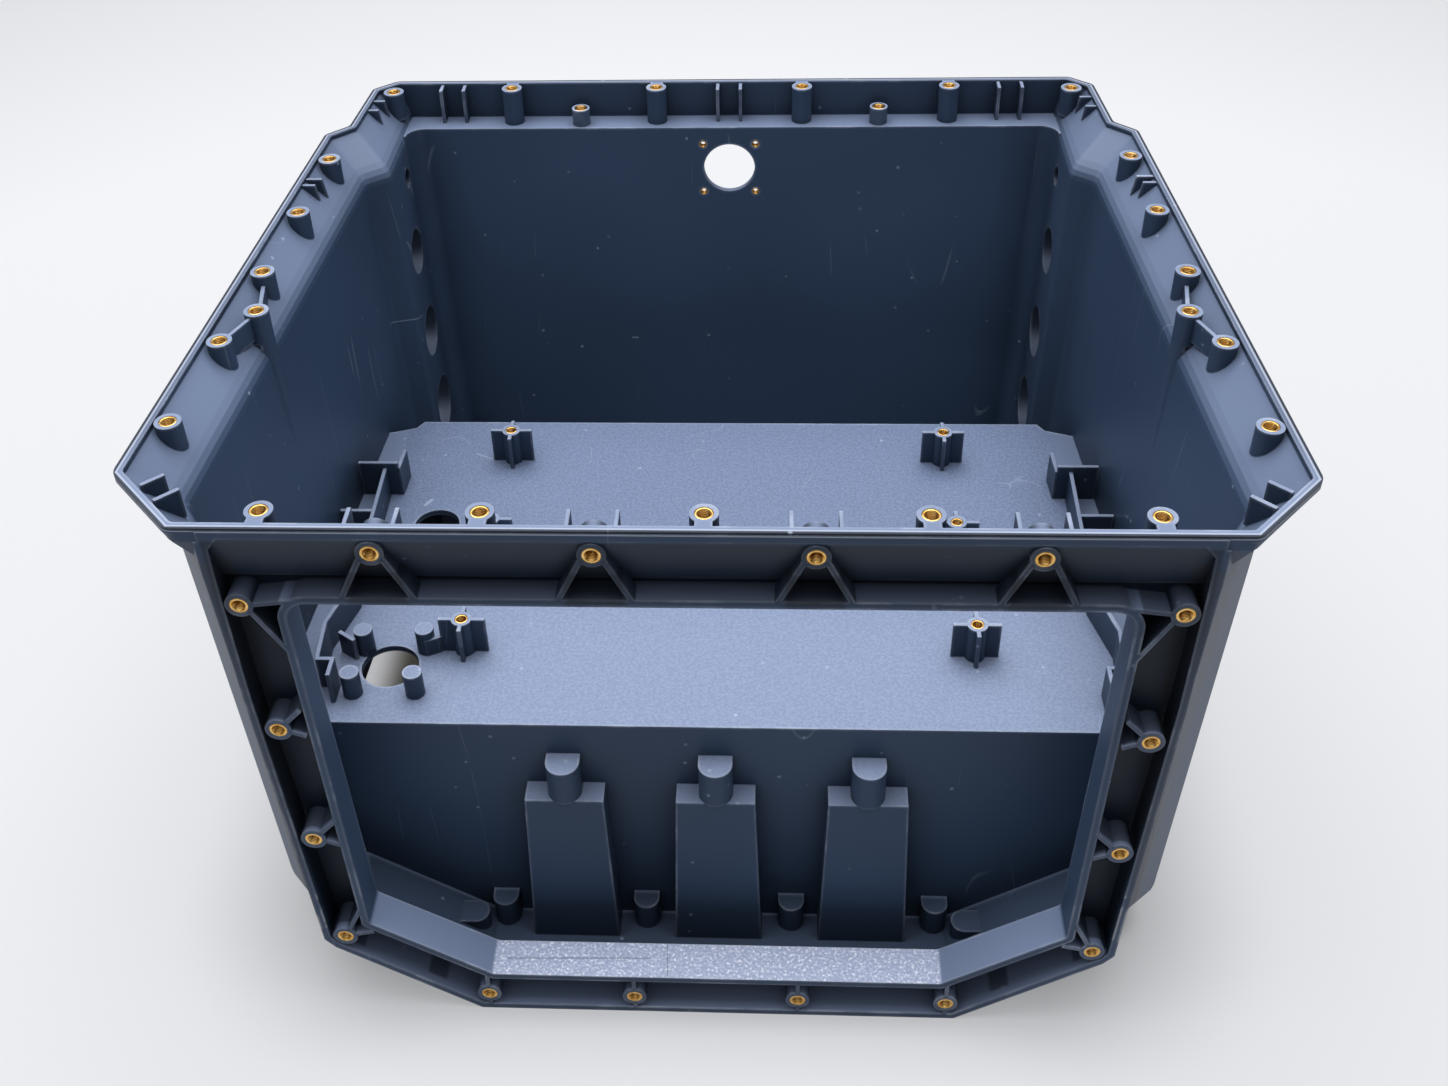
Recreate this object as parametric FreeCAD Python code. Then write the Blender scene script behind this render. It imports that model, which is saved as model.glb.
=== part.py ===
import FreeCAD, Part
import math
import os

V = FreeCAD.Vector
UP = V(0, 0, 1)

# Driving dimensions in millimetres.
# The part is drawn with the rim plane at height 0 and the front screw row at y = 0.
# It is moved at the end so that the bottom centre of the housing is the origin.
wall = 3.0
housing_bottom = -277.3
rim_edge = 3.0
rim_band = 6.5
lip_thickness = 3.5
lip_drop = 2.4
bend_height = -19.2
front_bend_height = -26.8
side_floor = housing_bottom + 51.3
throat_low = -27.5

rim_front = -10.5
rim_back = 362.3
flange_face = -16.1
frame_lean = 5.2
front_wall_front = -1.0
front_wall_back = 2.0

shelf_top = -147.5
step_wall_front = 35.5
well_front = 253.5

boss_radius = 5.3
insert_radius = 3.5
insert_bore = 2.1
insert_length = 9.0
screw_room = 3.0
rim_boss_length = 14.5
front_pitch = 79.2
back_pitch = 77.0
flange_top_pitch = 78.6
flange_top_height = -10.6
flange_bottom_height = housing_bottom + 10.5

rib = 1.8

# Right half of the rim outline, from front to back.
rim_half = [
    (189.8, rim_front),
    (218.8, 20.7),
    (203.5, 298.5),
    (193.0, 308.5),
    (190.0, 352.6),
    (178.6, rim_back),
]

# The band under the rim's edge stands a little further in.
band_half = [
    (188.0, rim_front),
    (216.9, 21.2),
    (201.8, 297.8),
    (191.4, 307.7),
    (188.4, 352.0),
    (177.8, 360.8),
]

# Inner walls of the body, right side, at the height of the bend.
side_corner = (197.1, 28.0)
side_taper = 0.054
front_chamfer = 0.66
pillar_face = 172.0
pillar_front = 294.0
pillar_strip = 1.29
back_wall = 344.0
side_draft = 0.0365
back_draft = 0.0353
pillar_draft = 0.0235
corner_radii_half = [0.0, 8.0, 6.0, 5.0, 9.0]

# Right half of the front frame, seen from the front as (x, height).
# Its face leans back by frame_lean from the bottom to the rim.
frame_half = [
    (105.5, housing_bottom),
    (166.0, housing_bottom + 41.7),
    (170.2, housing_bottom + 47.0),
    (171.7, housing_bottom + 77.8),
    (177.3, -83.9),
    (179.0, -0.9),
]

# Right half of the opening inside the front collar, seen from the front.
collar_half = [
    (98.1, housing_bottom + 24.8),
    (148.8, housing_bottom + 58.7),
    (153.3, -34.6),
]
collar_wall = 3.3

# Screw seats on the rim, right side, from back to front.
side_seats = [
    (178.2, 349.0),
    (195.2, 271.8),
    (197.7, 218.0),
    (200.4, 164.4),
    (194.7, 132.3),
    (203.9, 109.1),
    (207.8, 52.8),
]

# Screw seats on the front frame, right side, from top to bottom.
frame_seats = [
    (169.6, -35.7),
    (166.8, -100.1),
    (163.8, housing_bottom + 113.2),
    (160.5, housing_bottom + 49.5),
]
bottom_seats = [36.2, 101.3]

ledge_seat = (79.0, 350.0)
ledge_seat_top = -10.3
ledge_boss_radius = 4.7

vent_height = -42.5
vent_radius = 13.65
vent_screw_x = 14.0
vent_screw_z = 13.75
vent_insert_radius = 2.1
vent_insert_bore = 1.45

# Round holes in the rear pillars, as (y, height, radius).
pillar_holes = [
    (324.8, -38.6, 5.2),
    (316.5, -78.2, 12.3),
    (313.7, -127.7, 14.0),
    (312.5, -176.0, 15.5),
]
port_length = 11.0

shelf_posts = [(113.7, 80.5), (111.0, 150.0), (110.4, 221.0)]
shelf_post_top = -128.5
shelf_post_radius = 4.6
shelf_insert_radius = 2.9
shelf_insert_bore = 1.7
shelf_insert_length = 8.0


def whole(half):
    """Both halves of an outline, counter-clockwise, from its right half."""
    return half + [(-x, y) for x, y in reversed(half)]


def inset(points, distance):
    """Move every side of a counter-clockwise outline inward by the distance."""
    count = len(points)
    sides = []
    for i in range(count):
        ax, ay = points[i]
        bx, by = points[(i + 1) % count]
        length = math.hypot(bx - ax, by - ay)
        nx = -(by - ay) / length
        ny = (bx - ax) / length
        sides.append((nx, ny, nx * ax + ny * ay + distance))
    moved = []
    for i in range(count):
        n1x, n1y, d1 = sides[i - 1]
        n2x, n2y, d2 = sides[i]
        det = n1x * n2y - n1y * n2x
        moved.append(((d1 * n2y - n1y * d2) / det, (n1x * d2 - d1 * n2x) / det))
    return moved


def outline(points, radii):
    """Edges of a closed outline in the XY plane, with every corner rounded by its radius."""
    count = len(points)
    starts = []
    ends = []
    middles = []
    for i in range(count):
        here = V(points[i][0], points[i][1], 0)
        before = V(points[i - 1][0], points[i - 1][1], 0)
        after = V(points[(i + 1) % count][0], points[(i + 1) % count][1], 0)
        back = (before - here).normalize()
        forth = (after - here).normalize()
        radius = radii[i]
        if radius <= 0:
            starts.append(here)
            ends.append(here)
            middles.append(None)
            continue
        angle = math.acos(max(-1.0, min(1.0, back.dot(forth))))
        reach = radius / math.tan(angle / 2)
        bisector = (back + forth).normalize()
        centre = here + bisector * (radius / math.sin(angle / 2))
        starts.append(here + back * reach)
        ends.append(here + forth * reach)
        middles.append(centre - bisector * radius)
    edges = []
    for i in range(count):
        if middles[i] is not None:
            edges.append(Part.Arc(starts[i], middles[i], ends[i]).toShape())
        following = starts[(i + 1) % count]
        if (following - ends[i]).Length > 1e-6:
            edges.append(Part.makeLine(ends[i], following))
    return edges


def outline_at(points, height, radius=0.0):
    """Edges of an outline at a height, one radius for all corners or a list of them."""
    radii = radius if isinstance(radius, list) else [radius] * len(points)
    edges = outline(points, radii)
    for edge in edges:
        edge.translate(V(0, 0, height))
    return edges


def prism(points, low, high, radius=0.0):
    """Upright prism between two heights."""
    base = Part.Face(Part.Wire(outline_at(points, low, radius)))
    return base.extrude(V(0, 0, high - low))


def strip(first, second):
    """Side face between two edges: a true plane where all four corners lie in one."""
    a, b = [first.valueAt(t) for t in first.ParameterRange]
    d, c = [second.valueAt(t) for t in second.ParameterRange]
    normal = (b - a).cross(c - a).normalize()
    straight = isinstance(first.Curve, Part.Line)
    if straight and abs((d - a).dot(normal)) < 1e-6:
        return Part.Face(Part.makePolygon([a, b, c, d, a]))
    return Part.makeRuledSurface(first, second)


def loft(sections):
    """Closed solid with straight sides through outlines of equal edge count."""
    faces = [Part.Face(Part.Wire(sections[0])), Part.Face(Part.Wire(sections[-1]))]
    for upper, lower in zip(sections, sections[1:]):
        faces += [strip(first, second) for first, second in zip(upper, lower)]
    shell = Part.makeShell(faces)
    shell.sewShape()
    solid = Part.makeSolid(shell)
    if solid.Volume < 0:
        solid.reverse()
    return solid


def tapered(top, top_height, bottom, bottom_height, radius=0.0):
    """Solid with straight sides between two outlines of equal corner count."""
    return loft([outline_at(top, top_height, radius), outline_at(bottom, bottom_height, radius)])


def front_prism(points, front, back, radius=0.0):
    """Prism of an outline given as (x, height), between two y positions."""
    solid = prism(points, -back, -front, radius)
    solid.rotate(V(0, 0, 0), V(1, 0, 0), 90)
    return solid


def side_prism(points, left, right):
    """Prism of an outline given as (y, height), between two x positions."""
    solid = prism(points, left, right)
    solid.rotate(V(0, 0, 0), V(1, 1, 1), 120)
    return solid


def block(x0, x1, y0, y1, z0, z1):
    """Box between two corners."""
    return Part.makeBox(x1 - x0, y1 - y0, z1 - z0, V(x0, y0, z0))


def upright(x, y, low, high, radius):
    """Upright cylinder."""
    return Part.makeCylinder(radius, high - low, V(x, y, low), V(0, 0, 1))


def level(x, z, front, back, radius):
    """Cylinder along Y."""
    return Part.makeCylinder(radius, back - front, V(x, front, z), V(0, 1, 0))


def plate(ax, ay, bx, by, low, high, thickness=rib):
    """Upright plate along a line in plan."""
    length = math.hypot(bx - ax, by - ay)
    solid = block(0, length, -thickness / 2, thickness / 2, low, high)
    solid.rotate(V(0, 0, 0), V(0, 0, 1), math.degrees(math.atan2(by - ay, bx - ax)))
    solid.translate(V(ax, ay, 0))
    return solid


def front_plate(ax, az, bx, bz, front, back, thickness=rib):
    """Plate along a line seen from the front."""
    length = math.hypot(bx - ax, bz - az)
    solid = block(0, length, front, back, -thickness / 2, thickness / 2)
    solid.rotate(V(0, 0, 0), V(0, -1, 0), math.degrees(math.atan2(bz - az, bx - ax)))
    solid.translate(V(ax, 0, az))
    return solid


def mirrored(shape):
    """The same shape on the other side of the centre plane."""
    return shape.mirror(V(0, 0, 0), V(1, 0, 0))


def both(shape):
    """The shape and its mirror twin."""
    return [shape, mirrored(shape)]


def joined(shapes):
    """One shape from many."""
    return shapes[0].multiFuse(shapes[1:])


def ring(centre, axis, outer, bore, length):
    """Plain threaded insert, drawn as a ring sunk along the axis."""
    body = Part.makeCylinder(outer, length, centre, axis)
    return body.cut(Part.makeCylinder(bore, length, centre, axis))


def body_half(height, front):
    """Right half of the inner outline of the body at a height; every wall is a plane."""
    drop = bend_height - height
    side_x = side_corner[0] - side_draft * drop
    front_x = side_x - (side_corner[1] - front) * front_chamfer
    face_x = pillar_face - side_draft * drop
    face_y = pillar_front - pillar_draft * drop
    # The side wall and the slanted strip of the pillar meet at strip_y.
    reach = side_x + side_taper * side_corner[1] - face_x - pillar_strip * face_y
    strip_y = reach / (side_taper - pillar_strip)
    strip_x = face_x + pillar_strip * (face_y - strip_y)
    return [
        (front_x, front),
        (side_x, side_corner[1]),
        (strip_x, strip_y),
        (face_x, face_y),
        (face_x, back_wall - back_draft * drop),
    ]


def outer_half(height):
    """Right half of the outer outline, ending at the frame face with the pale corner strip."""
    half = inset(whole(body_half(height + wall, front_wall_back)), -wall)[:5]
    corner_y = 20.0
    corner_x = half[1][0] + (half[1][1] - corner_y) * side_taper
    return [(corner_x - 23.8, flange_face), (corner_x, corner_y)] + half[2:]


def make_outside():
    """The closed outer volume of the housing."""
    rim = whole(rim_half)
    rim_radii_half = [6.0, 8.0, 5.0, 5.0, 5.0, 5.0]
    rim_radii = rim_radii_half + rim_radii_half[::-1]
    band = whole(band_half)
    parts = [prism(rim, -rim_edge, 0.0, rim_radii), prism(band, -rim_band, 0.1 - rim_edge, rim_radii)]
    low = bend_height - wall
    top = outer_half(low)
    under = [
        (180.7, -3.7),
        top[1],
        top[2],
        top[3],
        (top[3][0], 352.0),
        (top[3][0], rim_back - 1.0),
    ]
    parts.append(tapered(inset(band, 0.3), -rim_band, whole(under), low))
    radii_half = [0.0, 4.0, 9.0, 8.0, 9.0]
    radii = radii_half + radii_half[::-1]
    body = tapered(whole(top), low, whole(outer_half(housing_bottom)), housing_bottom, radii)
    lower = block(-230, 230, -30, 380, housing_bottom - 5, side_floor)
    lower = lower.cut(well_volume(wall, housing_bottom - 10, side_floor + 10))
    body = body.cut(lower)
    body = body.cut(rising_floor(0.0))
    parts.append(body)
    corner = [(173.8, flange_face), (176.8, flange_face), (200.6, 20.0), (196.0, 30.0), (173.8, 30.0)]
    parts += both(prism(corner, low - 1.0, 0.5 - rim_band))
    parts.append(front_prism(whole(frame_half), flange_face, step_wall_front + wall))
    return joined(parts)


def rising_floor(lift):
    """Everything below the side floors, which rise towards the front frame."""
    deep = housing_bottom - 22.7
    section = [
        (-40.0, deep),
        (16.1, deep),
        (16.1, side_floor + lift),
        (flange_face, side_floor + 28.4 + lift),
        (-40.0, side_floor + 49.6 + lift),
    ]
    return side_prism(section, -230, 230)


def frame_plane(height):
    """Distance from the front row to the leaning face of the front frame."""
    return flange_face + frame_lean * (height - housing_bottom) / (0.0 - housing_bottom)


def before_frame():
    """Everything in front of the leaning face."""
    ahead = flange_face - 10.0
    section = [
        (ahead, housing_bottom - 5.0),
        (frame_plane(housing_bottom - 5.0), housing_bottom - 5.0),
        (frame_plane(5.0), 5.0),
        (ahead, 5.0),
    ]
    return side_prism(section, -230, 230)


def well_volume(grow, low, high):
    """Plan of the rear well, grown forward by a wall thickness or not at all."""
    half = [
        (163.5, well_front),
        (167.0, 248.0),
        (179.5, 243.8),
        (230.0, 243.8),
        (230.0, 400.0),
    ]
    return prism(inset(whole(half), -grow), low, high)


def between(first, second, share):
    """Outline part of the way from one outline to another."""
    return [(a + (c - a) * share, b + (d - b) * share) for (a, b), (c, d) in zip(first, second)]


def shoulder_tool():
    """Opening above the body: lip, 45 degree shoulder and the rounded bend below it."""
    rim = inset(whole(rim_half), lip_thickness)[:6]
    back = rim_back - lip_thickness
    bend = body_half(bend_height, -0.8)[:4] + [(pillar_face, 352.0), (pillar_face, back)]
    neck = body_half(front_bend_height, front_wall_back)[:4]
    neck += [(neck[3][0], 352.0), (neck[3][0], back)]
    above = between(rim, bend, 0.72)
    above_height = -lip_drop + (bend_height + lip_drop) * 0.72
    below = between(bend, neck, 0.6)
    below_height = bend_height + (front_bend_height - bend_height) * 0.6
    sections = [(rim, -lip_drop)]
    steps = 4
    for i in range(steps + 1):
        t = i / steps
        outline_half = between(between(above, bend, t), between(bend, below, t), t)
        first = above_height + (bend_height - above_height) * t
        second = bend_height + (below_height - bend_height) * t
        sections.append((outline_half, first + (second - first) * t))
    sections.append((neck, front_bend_height))
    radii_half = corner_radii_half[:4] + [0.0, 0.0]
    radii = radii_half + radii_half[::-1]
    tool = loft([outline_at(whole(half), height, radii) for half, height in sections])
    # Below the bend the tool leaves the back wall and its rounded corners alone.
    behind = block(-230, 230, back_wall - corner_radii_half[4], 380, front_bend_height - 1, bend_height)
    return tool.cut(behind)


def make_cavity():
    """Everything that is open inside the housing."""
    floor = housing_bottom + wall
    rim = inset(whole(rim_half), lip_thickness)
    mouth = prism(rim, -lip_drop, 5.0, 3.0)
    radii = corner_radii_half + corner_radii_half[::-1]
    top = whole(body_half(bend_height, front_wall_back))
    trunk = tapered(top, bend_height, whole(body_half(floor, front_wall_back)), floor, radii)
    upper = trunk.common(block(-230, 230, -30, 380, shelf_top, 0))
    front = trunk.common(block(-230, 230, -30, step_wall_front, side_floor + wall, shelf_top + 1))
    front = front.cut(rising_floor(wall / math.cos(math.radians(41.5))))
    tray = front_prism(inset(whole(frame_half), wall), front_wall_back, step_wall_front)
    tray = tray.common(block(-230, 230, -30, 380, housing_bottom, shelf_top - 2.5))
    well = trunk.common(well_volume(0.0, housing_bottom, shelf_top + 1))
    return joined([mouth, shoulder_tool(), upper, front, tray, well])


def tunnel_half(height):
    """Right half of the open space under the shelf at a height."""
    side_x = side_corner[0] - side_draft * (bend_height - height)
    near = step_wall_front + wall
    return [
        (side_x - (near - side_corner[1]) * side_taper, near),
        (side_x - (260.0 - side_corner[1]) * side_taper, 260.0),
    ]


def make_tunnel():
    """The open space under the shelf."""
    top = shelf_top - wall
    low = side_floor - 1.0
    solid = tapered(whole(tunnel_half(top)), top, whole(tunnel_half(low)), low)
    return solid.cut(well_volume(wall, low - 1.0, top + 1.0))


def make_front_cuts():
    """The window in the front and the channel around its collar."""
    inner = whole(collar_half)
    radii_half = [3.0, 3.0, 8.0]
    window = front_prism(inner, flange_face - 5, front_wall_back + 5, radii_half + radii_half[::-1])
    collar_outer = inset(inner, -collar_wall)
    outer_radii_half = [4.0, 4.0, 11.3]
    collar = front_prism(collar_outer, flange_face - 6, front_wall_back, outer_radii_half + outer_radii_half[::-1])
    channel_points = inset(whole(frame_half), wall)
    channel = front_prism(channel_points, flange_face - 5, front_wall_front)
    channel = channel.common(block(-230, 230, -60, 60, housing_bottom, throat_low + 0.5))
    top = [(flange_face - 5, -4.4), (rim_front - 0.3, -4.4), (-4.0, throat_low), (flange_face - 5, throat_low)]
    throat = side_prism(top, -175.5, 175.5)
    corners = [(176.6, -10.8), (176.6, -3.4), (170.6, -3.4)]
    throat = throat.cut(joined(both(front_prism(corners, flange_face, -5.0))))
    return channel.fuse(throat).cut(collar), window


def frame_bosses():
    """Screw bosses and webs standing in the front channel."""
    parts = []
    cores = []
    seats = []
    for step in (0.5, 1.5):
        seats.append((flange_top_pitch * step, flange_top_height, 2.5, "top"))
    for x, z in frame_seats:
        seats.append((x, z, 0.0, "side"))
    for x in bottom_seats:
        seats.append((x, flange_bottom_height, 0.0, "bottom"))
    for x, z, back, place in seats:
        parts += both(level(x, z, flange_face, back, boss_radius))
        seat = frame_plane(z)
        cores += both(level(x, z, seat - 3.0, seat + insert_length + screw_room, insert_radius))
        if place == "top":
            for side in (-1, 1):
                leg = front_plate(x + side * 4.2, z - 2.5, x + side * 13.8, collar_half[2][1] + 1.8, flange_face, -3.0, 2.3)
                parts += both(leg)
                parts += both(plate(x + side * 8.7, -6.5, x + side * 8.7, 3.0, -14.0, -1.0, 1.5))
        if place == "bottom":
            parts += both(front_plate(x, z, x, housing_bottom + 1.0, flange_face, 0.0))
            parts += both(front_plate(x, z, x, collar_half[0][1] - 1.7, flange_face, 0.0))
    upper_x, upper_z = frame_seats[0]
    corner_x, corner_z = collar_half[2]
    parts += both(front_plate(upper_x - 3, upper_z, corner_x - 5.7, corner_z + 1.4, flange_face, 0.0))
    parts += both(front_plate(upper_x - 3, upper_z - 2, corner_x + 1.9, corner_z - 23.5, flange_face, 0.0))
    for x, z in frame_seats[1:3]:
        parts += both(front_plate(x - 2, z + 2, x - 10.0, z + 10.5, flange_face, 0.0))
        parts += both(front_plate(x - 2, z, x - 10.5, z - 3.5, flange_face, 0.0))
    low_x, low_z = frame_seats[3]
    parts += both(front_plate(low_x, low_z, low_x - 9.0, low_z + 18.0, flange_face, 0.0))
    parts += both(front_plate(low_x, low_z, low_x - 13.0, low_z + 3.5, flange_face, 0.0))
    return parts, cores, seats


def rim_bosses():
    """Upright screw bosses round the rim."""
    parts = []
    cores = []
    seats = []
    for step in (-2, -1, 0, 1, 2):
        x = step * front_pitch
        seats.append((x, 0.0))
        parts.append(upright(x, 0.0, -22.0, 0.0, boss_radius))
        foot = [(rim_front + 1.5, 0.0), (rim_front + 1.5, -4.0), (-4.6, -20.0), (0.0, -20.0), (0.0, 0.0)]
        parts.append(side_prism(foot, x - 3.2, x + 3.2))
    for step in (-1.5, -0.5, 0.5, 1.5):
        x = step * back_pitch
        seats.append((x, 352.8))
        parts.append(upright(x, 352.8, bend_height - 1.0, 0.0, boss_radius))
        parts.append(block(x - 3.2, x + 3.2, 352.8, rim_back - 1.0, bend_height - 1.0, 0.0))
    for x, y in side_seats:
        for side in (-1, 1):
            seats.append((side * x, y))
            parts.append(upright(side * x, y, -rim_boss_length, 0.0, boss_radius))
    for x, y in seats:
        cores.append(upright(x, y, -insert_length - screw_room, 1.0, insert_radius))
    return parts, cores, seats


def rim_details():
    """Fins, webs and rib pairs around the rim."""
    parts = []
    for y, outer, inner in ((252.9, 203.4, 194.7), (246.6, 203.9, 196.6), (340.4, 188.4, 181.4), (329.4, 189.0, 182.6)):
        fin = [(outer, -1.2), (inner, -1.2), (inner - 2.2, -16.0), (outer, -16.0)]
        parts += both(front_prism(fin, y - 0.85, y + 0.85))
    parts += both(plate(206.7, 15.3, 199.7, 21.7, -14.0, -1.2, 1.7))
    parts += both(plate(199.0, 6.5, 191.6, 13.4, -14.0, -1.2, 1.7))
    x5, y5 = side_seats[4]
    x4, y4 = side_seats[3]
    x6, y6 = side_seats[5]
    parts += both(plate(x5, y5, x6, y6, -12.0, -1.2, 1.7))
    parts += both(plate(x5, y5, x4, y4, -12.0, -4.5, 1.7))
    # The fifth boss runs straight down until the leaning side wall swallows it.
    tail = upright(x5, y5, -80.0, -12.0, boss_radius)
    room = block(x5 - 8.0, x5 - 2.8, y5 - 8.0, y5 + 8.0, -80.0, -12.0)
    room = room.fuse(block(x5 - 8.0, x5 - 0.5, y5 - 8.0, y5 + 8.0, -22.0, -12.0))
    parts += both(tail.common(room))
    for centre in (-147.5, 0.0, 147.5):
        for shift in (-6.0, 6.0):
            x = centre + shift
            parts.append(plate(x, 351.0, x, rim_back - 2.0, bend_height - 0.5, -0.8, 1.7))
    x, y = ledge_seat
    parts += both(upright(x, y, bend_height - 1.0, ledge_seat_top, ledge_boss_radius))
    return parts


def shelf_details():
    """Posts, bosses and brackets on the shelf and side walls."""
    parts = []
    cores = []
    floor = shelf_top - 0.5
    for x, y in shelf_posts:
        parts += both(upright(x, y, floor, shelf_post_top, shelf_post_radius))
        parts += both(block(x - 10.5, x + 10.5, y - rib / 2, y + rib / 2, floor, shelf_post_top))
        parts += both(block(x - rib / 2, x + rib / 2, y - 8.0, y + 8.0, floor, shelf_post_top))
        depth = shelf_insert_length + screw_room
        cores += both(upright(x, y, shelf_post_top - depth, shelf_post_top + 1, shelf_insert_radius))
    for x, y in ((-158.6, 79.3), (-131.2, 80.4), (-159.1, 52.8), (-131.6, 53.3)):
        parts.append(upright(x, y, floor, shelf_top + 13.0, 4.25))
    parts.append(plate(-131.0, 76.6, -125.0, 79.3, floor, shelf_top + 9.0))
    parts.append(plate(-125.0, 79.3, -120.5, 83.3, floor, shelf_top + 9.0))
    parts.append(plate(-169.3, 79.0, -161.4, 73.6, floor, shelf_top + 12.0))
    high = shelf_top + 20.0
    for side in (-1, 1):
        parts.append(plate(side * 183.5, 192.0, side * 163.7, 192.0, floor, high))
        parts.append(plate(side * 163.7, 191.2, side * 163.0, 206.5, floor, high - 3.0))
        parts.append(plate(side * 170.3, 192.0, side * 168.0, 107.0, floor, shelf_top + 17.0))
        parts.append(plate(side * 168.0, 107.5, side * 175.1, 79.5, floor, shelf_top + 17.0))
        parts.append(plate(side * 175.1, 79.9, side * 173.5, 57.0, floor, shelf_top + 17.0))
        parts.append(plate(side * 169.0, 158.0, side * 185.5, 158.0, floor, shelf_top + 17.0))
        parts.append(plate(side * 174.0, 57.0, side * 166.2, 57.0, floor, shelf_top + 17.0))
        parts.append(plate(side * 166.6, 57.8, side * 166.6, 46.8, floor, shelf_top + 17.0))
    holes = [
        upright(-146.0, 69.5, shelf_top - 10.0, shelf_top + 3.0, 12.75),
        upright(-142.0, 168.0, shelf_top - 10.0, shelf_top + 3.0, 11.0),
    ]
    return parts, cores, holes


def pedestals():
    """Tapered pedestals and small half-round bosses on the step wall."""
    parts = []
    hollows = []
    back = step_wall_front + 1.0
    floor = housing_bottom + wall
    for x in (-66.0, 0.0, 66.0):
        low = [(x - 20.0, 21.0), (x + 20.0, 21.0), (x + 20.0, back), (x - 20.0, back)]
        top = [(x - 17.25, 24.5), (x + 17.25, 24.5), (x + 17.25, back), (x - 17.25, back)]
        parts.append(tapered(top, shelf_top - 36.0, low, floor - 0.5))
        parts.append(upright(x, 30.4, shelf_top - 36.5, shelf_top - 17.5, 7.4))
        parts.append(block(x - 7.4, x + 7.4, 30.4, back, shelf_top - 36.5, shelf_top - 17.5))
        low = [(x - 17.0, 24.0), (x + 17.0, 24.0), (x + 17.0, 50.0), (x - 17.0, 50.0)]
        top = [(x - 14.25, 27.5), (x + 14.25, 27.5), (x + 14.25, 50.0), (x - 14.25, 50.0)]
        hollows.append(tapered(top, shelf_top - 39.0, low, floor))
    for x in (-99.7, -33.6, 33.6, 99.7):
        parts.append(upright(x, 31.7, floor - 0.5, floor + 15.3, 6.0))
        parts.append(block(x - 6.0, x + 6.0, 31.7, back, floor - 0.5, floor + 15.3))
    # A low pad with a round end lies in each front corner of the tray.
    pad = upright(113.0, 25.5, floor - 0.5, floor + 10.8, 6.0)
    parts += both(pad.fuse(block(113.0, 126.0, 19.5, 31.5, floor - 0.5, floor + 10.8)))
    return parts, hollows


def pillar_ports():
    """Short round tubes outside the rear pillars, and the holes through them."""
    tubes = []
    holes = []
    for y, z, radius in pillar_holes:
        face = pillar_face - side_draft * (bend_height - z)
        for side in (-1, 1):
            way = V(side, 0, 0)
            tubes.append(Part.makeCylinder(radius + 2.5, port_length, V(side * (face + 1.0), y, z), way))
            holes.append(Part.makeCylinder(radius, port_length + 8.0, V(side * (face - 3.0), y, z), way))
    return tubes, holes


def wall_holes():
    """Round holes in the back wall."""
    holes = [level(0.0, vent_height, 330.0, 360.0, vent_radius)]
    for sx in (-1, 1):
        for sz in (-1, 1):
            holes.append(level(sx * vent_screw_x, vent_height + sz * vent_screw_z, 330.0, 360.0, vent_insert_radius))
    return holes


def make_housing():
    """The housing as one moulded solid, and the seats of its inserts."""
    body = make_outside().cut(make_cavity()).cut(make_tunnel())
    channel, window = make_front_cuts()
    body = body.cut(channel)
    frame_parts, frame_cores, flange_seats = frame_bosses()
    rim_parts, rim_cores, rim_seats = rim_bosses()
    shelf_parts, shelf_cores, shelf_holes = shelf_details()
    stands, hollows = pedestals()
    tubes, ports = pillar_ports()
    body = body.multiFuse(frame_parts + rim_parts + rim_details() + shelf_parts + stands + tubes)
    cuts = [window, before_frame()] + frame_cores + rim_cores + shelf_cores + shelf_holes + hollows
    x, y = ledge_seat
    cuts += both(upright(x, y, ledge_seat_top - insert_length, ledge_seat_top + 1, insert_radius))
    body = body.cut(joined(cuts))
    for hole in wall_holes() + ports:
        body = body.cut(hole)
    return body, flange_seats, rim_seats


housing, flange_seats, rim_seats = make_housing()

down = V(0, 0, -1)
rim_inserts = []
for x, y in rim_seats:
    rim_inserts.append(ring(V(x, y, 0), down, insert_radius, insert_bore, insert_length))

ledge_inserts = []
flange_inserts = []
shelf_inserts = []
vent_inserts = []
for side in (-1, 1):
    x, y = ledge_seat
    ledge_inserts.append(ring(V(side * x, y, ledge_seat_top), down, insert_radius, insert_bore, insert_length))
    for x, z, back, place in flange_seats:
        seat = V(side * x, frame_plane(z), z)
        flange_inserts.append(ring(seat, V(0, 1, 0), insert_radius, insert_bore, insert_length))
    for x, y in shelf_posts:
        seat = V(side * x, y, shelf_post_top)
        shelf_inserts.append(ring(seat, down, shelf_insert_radius, shelf_insert_bore, shelf_insert_length))
    for up in (-1, 1):
        z = vent_height + up * vent_screw_z
        front = back_wall - back_draft * (bend_height - z)
        seat = V(side * vent_screw_x, front, z)
        vent_inserts.append(ring(seat, V(0, 1, 0), vent_insert_radius, vent_insert_bore, wall))

to_frame = V(0, -(flange_face + rim_back) / 2, -housing_bottom)
nodes = {
    "housing": housing,
    "rim_inserts": Part.Compound(rim_inserts),
    "ledge_inserts": Part.Compound(ledge_inserts),
    "flange_inserts": Part.Compound(flange_inserts),
    "shelf_inserts": Part.Compound(shelf_inserts),
    "vent_inserts": Part.Compound(vent_inserts),
}

os.makedirs("parts", exist_ok=True)
for name, shape in nodes.items():
    shape = shape.copy()
    shape.translate(to_frame)
    shape.exportStep("parts/" + name + ".step")
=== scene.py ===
# %% [markdown]
# # A moulded plastic housing with brass inserts
#
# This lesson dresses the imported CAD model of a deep, open-topped plastic tub. The CAD
# gives every wall, rib and boss its real size. Blender adds what CAD can't show: the
# satin skin of moulded plastic, its scuffed edges, and real threads in the brass inserts.
# Everything is in metres, in the frame of the CAD model: X to the right, Y to the back,
# Z up, with the origin at the bottom centre of the housing.

# %% Load the frame
import math

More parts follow.
